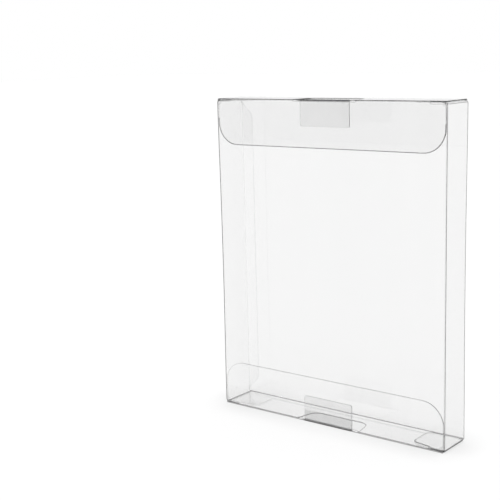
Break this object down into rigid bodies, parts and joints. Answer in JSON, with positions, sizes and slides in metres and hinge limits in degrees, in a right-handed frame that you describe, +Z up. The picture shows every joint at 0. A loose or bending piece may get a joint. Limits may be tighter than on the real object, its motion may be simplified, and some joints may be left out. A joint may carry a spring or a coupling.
{
  "type": "game box protector",
  "caption": "Clear film sleeve for a boxed game, upright and empty, with tongue-and-slot closures at top and bottom that fold-in lock tabs hold shut.",
  "frame": {"origin": "middle of the bottom end, on the surface that the protector stands on", "axes": "+Z up along the height, +Y from the front panel to the back panel, +X to the right seen from the front"},
  "size_m": [0.146, 0.0226, 0.18],
  "materials": {
    "clear_film": "clear glossy PET film, creased, with darker cut edges"
  },
  "bodies": {
    "sleeve": {"film_sleeve": "clear_film"},
    "top_tab": {"top_lock_tab": "clear_film"},
    "bottom_tab": {"bottom_lock_tab": "clear_film"}
  },
  "joints": [
    {"name": "top_tab_fold", "type": "hinge", "parent": "sleeve", "child": "top_tab", "pos_m": [0, -0.011, 0.17975], "axis": [1, 0, 0], "range_deg": [0, 180]},
    {"name": "bottom_tab_fold", "type": "hinge", "parent": "sleeve", "child": "bottom_tab", "pos_m": [0, -0.011, 0.00025], "axis": [-1, 0, 0], "range_deg": [0, 180]}
  ]
}
